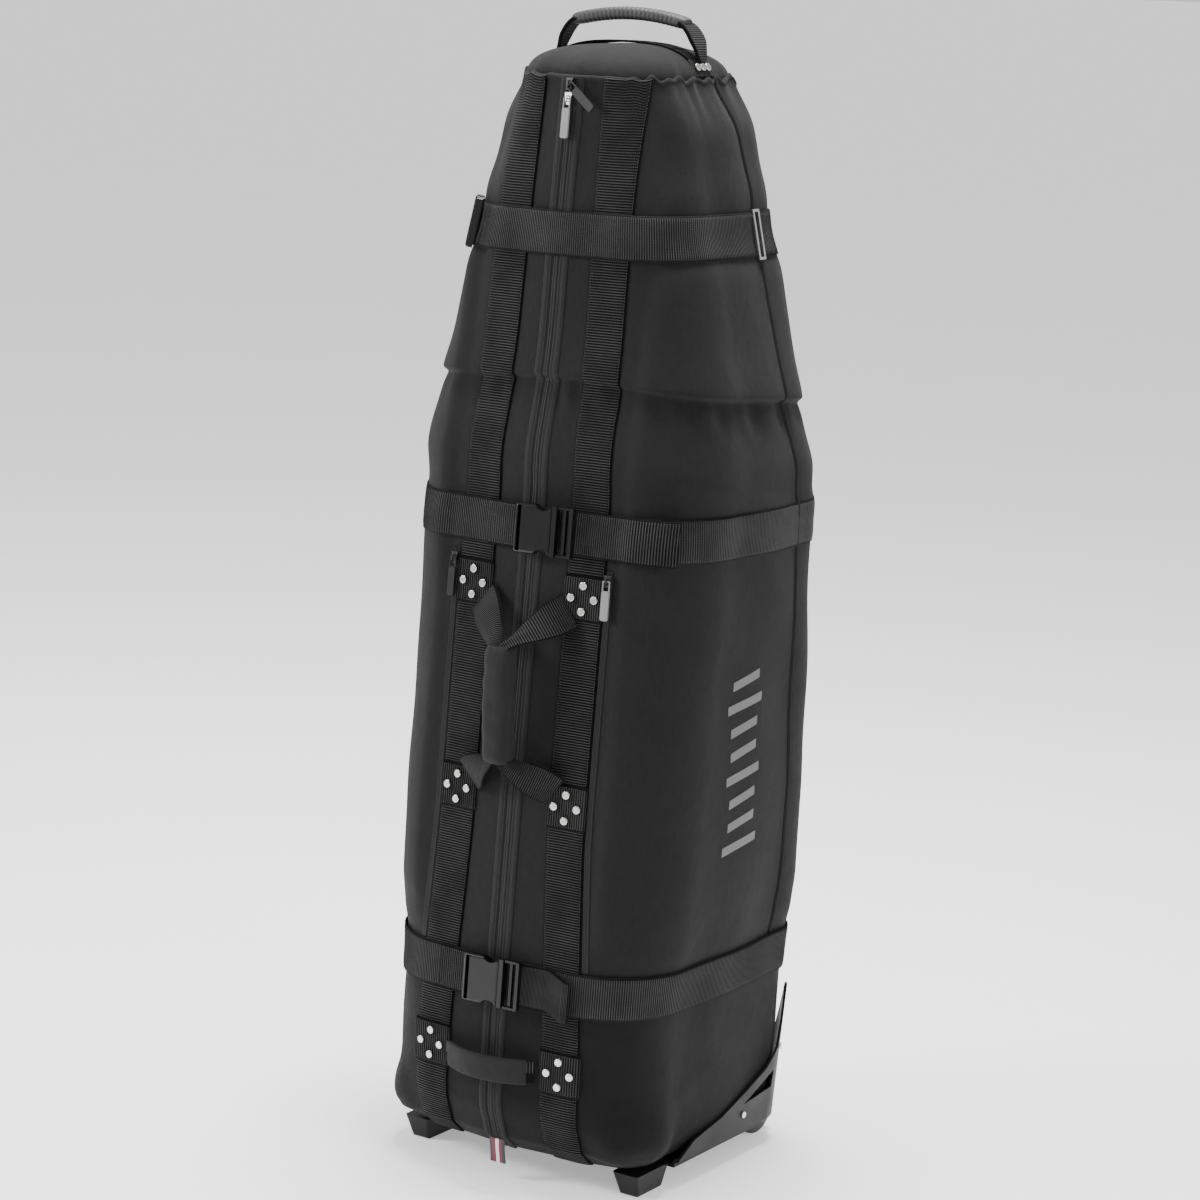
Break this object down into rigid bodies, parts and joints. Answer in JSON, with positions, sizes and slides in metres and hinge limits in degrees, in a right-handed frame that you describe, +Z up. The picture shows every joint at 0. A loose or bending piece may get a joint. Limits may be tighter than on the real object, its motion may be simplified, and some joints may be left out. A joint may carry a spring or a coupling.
{
  "type": "golf travel case",
  "caption": "Tall wheeled soft travel case for a golf bag, zipped down the front, with buckled webbing straps, carry handles, corner skids and feet.",
  "frame": {"origin": "on the floor, under the middle of the box round the whole case", "axes": "+Z up along the case's height, -Y towards its zipped front, +X to the right of someone who faces that front"},
  "size_m": [0.3878, 0.3879, 1.283],
  "materials": {
    "body_fabric": "plain-weave coated polyester, matt",
    "base_fabric": "coarse plain-weave coated nylon, matt",
    "webbing": "ribbed polyester webbing with a faint sheen",
    "handle_pad": "padded fabric with stitched edges",
    "soft_grip": "fine-grained soft grip",
    "zip_tape": "herringbone zip tape",
    "zip_coil": "nylon coil",
    "zip_metal": "dark plated zinc, polished edges",
    "pull_rubber": "moulded rubber",
    "rivet_metal": "bright nickel, slightly scuffed",
    "ring_metal": "satin nickel",
    "steel": "plain steel",
    "skid_plastic": "fine-textured moulded plastic",
    "buckle_plastic": "satin moulded acetal",
    "tyre": "polyurethane tread",
    "hub_plastic": "moulded nylon",
    "ribbon": "striped woven ribbon",
    "board": "stiff sheet",
    "foam": "covered foam"
  },
  "bodies": {
    "bag": {"anchor_patches": "webbing", "axle_pins": "steel", "base_board": "board", "base_tray": "base_fabric", "end_slider": "zip_metal", "inner_strap": "webbing", "lower_back_panel": "body_fabric", "lower_band": "webbing", "lower_buckle_socket": "buckle_plastic", "lower_left_panel": "body_fabric", "lower_right_panel": "body_fabric", "main_zip_coil": "zip_coil", "main_zip_tapes": "zip_tape", "pocket_zips": "zip_coil", "ribbon_tab": "ribbon", "rivets": "rivet_metal", "skid_left": "skid_plastic", "skid_right": "skid_plastic", "skid_screws": "rivet_metal", "strap_ends": "webbing", "strap_ring": "ring_metal", "top_buckle_socket": "buckle_plastic", "top_cap": "body_fabric", "top_pad": "foam", "top_strap": "webbing", "upper_back_panel": "body_fabric", "upper_band": "webbing", "upper_buckle_socket": "buckle_plastic", "upper_left_panel": "body_fabric", "upper_right_panel": "body_fabric", "webbing_strips": "webbing"},
    "wheel_left": {"tyre_left": "tyre", "wheel_hub_left": "hub_plastic", "bearings_left": "steel"},
    "wheel_right": {"tyre_right": "tyre", "wheel_hub_right": "hub_plastic", "bearings_right": "steel"},
    "upper_plug": {"upper_buckle_plug": "buckle_plastic"},
    "upper_prong_high": {"upper_prong_high": "buckle_plastic"},
    "upper_prong_low": {"upper_prong_low": "buckle_plastic"},
    "lower_plug": {"lower_buckle_plug": "buckle_plastic"},
    "lower_prong_high": {"lower_prong_high": "buckle_plastic"},
    "lower_prong_low": {"lower_prong_low": "buckle_plastic"},
    "top_plug": {"top_buckle_plug": "buckle_plastic"},
    "top_prong_high": {"top_prong_high": "buckle_plastic"},
    "top_prong_low": {"top_prong_low": "buckle_plastic"},
    "main_slider": {"main_slider": "zip_metal"},
    "main_pull": {"main_pull": "pull_rubber"},
    "end_pull": {"end_pull": "pull_rubber"},
    "pocket_slider_left": {"pocket_slider_left": "zip_metal"},
    "pocket_pull_left": {"pocket_pull_left": "pull_rubber"},
    "pocket_slider_right": {"pocket_slider_right": "zip_metal"},
    "pocket_pull_right": {"pocket_pull_right": "pull_rubber"},
    "haul_handle": {"haul_grip": "handle_pad", "haul_webbing": "webbing"},
    "grab_handle": {"grab_grip": "handle_pad", "grab_webbing": "webbing"},
    "top_handle": {"top_handle_grip": "soft_grip", "top_handle_webbing": "webbing"}
  },
  "joints": [
    {"name": "wheel_left_spin", "type": "hinge", "parent": "bag", "child": "wheel_left", "pos_m": [-0.138, 0.157, 0.031], "axis": [1, 0, 0], "continuous": true},
    {"name": "wheel_right_spin", "type": "hinge", "parent": "bag", "child": "wheel_right", "pos_m": [0.138, 0.157, 0.031], "axis": [1, 0, 0], "continuous": true},
    {"name": "upper_plug_slide", "type": "slide", "parent": "bag", "child": "upper_plug", "axis": [0.9983, 0.0575, 0], "range_m": [0, 0.028]},
    {"name": "upper_prong_high_squeeze", "type": "hinge", "parent": "upper_plug", "child": "upper_prong_high", "pos_m": [0.03362, -0.13042, 0.74816], "axis": [0.0573, -0.9947, 0.0856], "range_deg": [0, 5], "stiffness_Nm_per_rad": 0.03},
    {"name": "upper_prong_low_squeeze", "type": "hinge", "parent": "upper_plug", "child": "upper_prong_low", "pos_m": [0.03381, -0.1337, 0.70991], "axis": [-0.0573, 0.9947, -0.0856], "range_deg": [0, 5], "stiffness_Nm_per_rad": 0.03},
    {"name": "lower_plug_slide", "type": "slide", "parent": "bag", "child": "lower_plug", "axis": [0.9994, 0.0357, 0], "range_m": [0, 0.028]},
    {"name": "lower_prong_high_squeeze", "type": "hinge", "parent": "lower_plug", "child": "lower_prong_high", "pos_m": [0.01139, -0.17193, 0.25206], "axis": [0.0356, -0.9965, 0.0752], "range_deg": [0, 5], "stiffness_Nm_per_rad": 0.03},
    {"name": "lower_prong_low_squeeze", "type": "hinge", "parent": "lower_plug", "child": "lower_prong_low", "pos_m": [0.01149, -0.17481, 0.21376], "axis": [-0.0356, 0.9965, -0.0752], "range_deg": [0, 5], "stiffness_Nm_per_rad": 0.03},
    {"name": "top_plug_slide", "type": "slide", "parent": "bag", "child": "top_plug", "axis": [0.5878, -0.809, 0], "range_m": [0, 0.028]},
    {"name": "top_prong_high_squeeze", "type": "hinge", "parent": "top_plug", "child": "top_prong_high", "pos_m": [-0.12586, -0.0641, 1.06319], "axis": [-0.7934, -0.5765, 0.1954], "range_deg": [0, 5], "stiffness_Nm_per_rad": 0.03},
    {"name": "top_prong_low_squeeze", "type": "hinge", "parent": "top_plug", "child": "top_prong_low", "pos_m": [-0.13193, -0.06851, 1.02553], "axis": [0.7934, 0.5765, -0.1954], "range_deg": [0, 5], "stiffness_Nm_per_rad": 0.03},
    {"name": "main_slider_run", "type": "slide", "parent": "bag", "child": "main_slider", "axis": [0, -0.1018, -0.9948], "range_m": [0, 0.08]},
    {"name": "main_pull_lift", "type": "hinge", "parent": "main_slider", "child": "main_pull", "pos_m": [0, -0.08122, 1.18369], "axis": [-1, 0, 0], "range_deg": [0, 110]},
    {"name": "end_pull_lift", "type": "hinge", "parent": "bag", "child": "end_pull", "pos_m": [0, -0.07963, 1.19919], "axis": [-0.6157, -0.0802, -0.7839], "range_deg": [0, 110]},
    {"name": "pocket_slider_left_run", "type": "slide", "parent": "bag", "child": "pocket_slider_left", "axis": [0, -0.0847, -0.9964], "range_m": [0, 0.23]},
    {"name": "pocket_pull_left_lift", "type": "hinge", "parent": "pocket_slider_left", "child": "pocket_pull_left", "pos_m": [-0.10125, -0.12503, 0.68258], "axis": [-0.9968, 0.0805, 0], "range_deg": [0, 110]},
    {"name": "pocket_slider_right_run", "type": "slide", "parent": "bag", "child": "pocket_slider_right", "axis": [0, -0.0847, -0.9964], "range_m": [0, 0.23]},
    {"name": "pocket_pull_right_lift", "type": "hinge", "parent": "pocket_slider_right", "child": "pocket_pull_right", "pos_m": [0.10125, -0.12503, 0.68258], "axis": [-0.9968, -0.0805, 0], "range_deg": [0, 110]},
    {"name": "haul_handle_pull", "type": "slide", "parent": "bag", "child": "haul_handle", "axis": [0, -1, 0], "range_m": [0, 0.012], "stiffness_N_per_m": 150},
    {"name": "grab_handle_swing", "type": "hinge", "parent": "bag", "child": "grab_handle", "pos_m": [0, -0.17128, 0.14], "axis": [-1, 0, 0], "range_deg": [-30, 30], "stiffness_Nm_per_rad": 0.3},
    {"name": "top_handle_swing", "type": "hinge", "parent": "bag", "child": "top_handle", "pos_m": [0, 0.036, 1.23314], "axis": [1, 0, 0], "range_deg": [-45, 45], "stiffness_Nm_per_rad": 1.2}
  ]
}
